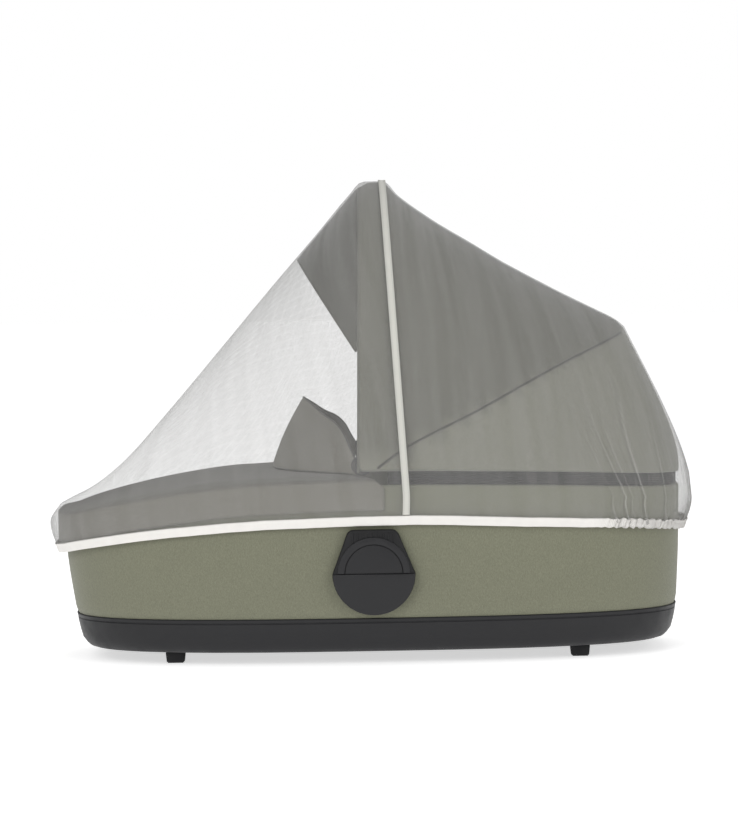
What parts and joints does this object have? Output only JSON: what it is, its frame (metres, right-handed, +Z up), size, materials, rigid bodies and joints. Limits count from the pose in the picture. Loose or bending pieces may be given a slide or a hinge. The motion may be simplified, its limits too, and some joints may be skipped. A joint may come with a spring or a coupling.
{
  "type": "mosquito net on a pushchair carrycot",
  "caption": "Sheer elasticated mosquito net drawn over a carrycot with its hood up, seamed over the hood bow and gathered round the head end.",
  "frame": {"origin": "middle of the object in plan, on the surface that its feet stand on", "axes": "+X from the foot end to the head end, +Y to the far side of the picture, +Z up"},
  "size_m": [0.8885, 0.4542, 0.6513],
  "materials": {
    "net_mesh": "fine sheer white mesh",
    "net_white_tape": "woven seam tape with two rows of stitching",
    "net_white_binding": "white folded binding with elastic inside",
    "olive_fabric": "mottled olive woven cloth",
    "taupe_fabric": "mottled grey-brown woven cloth",
    "dark_webbing": "flat dark webbing",
    "dark_plastic": "fine-grained matte plastic"
  },
  "bodies": {
    "root": {"net_front_panel": "net_mesh", "net_rear_panel": "net_mesh", "net_seam_tape": "net_white_tape", "net_hem_binding": "net_white_binding", "carrycot_tub": "olive_fabric", "carrycot_base": "dark_plastic", "carrycot_foot_1": "dark_plastic", "carrycot_foot_2": "dark_plastic", "carrycot_foot_3": "dark_plastic", "carrycot_foot_4": "dark_plastic", "carry_lug_near": "dark_plastic", "carry_lug_far": "dark_plastic", "hood_canopy": "taupe_fabric", "hood_rim_band": "dark_webbing", "hood_visor": "taupe_fabric", "hood_hinge_near": "dark_plastic", "hood_hinge_far": "dark_plastic", "apron_cover": "taupe_fabric", "apron_wind_flap": "taupe_fabric"}
  },
  "joints": []
}
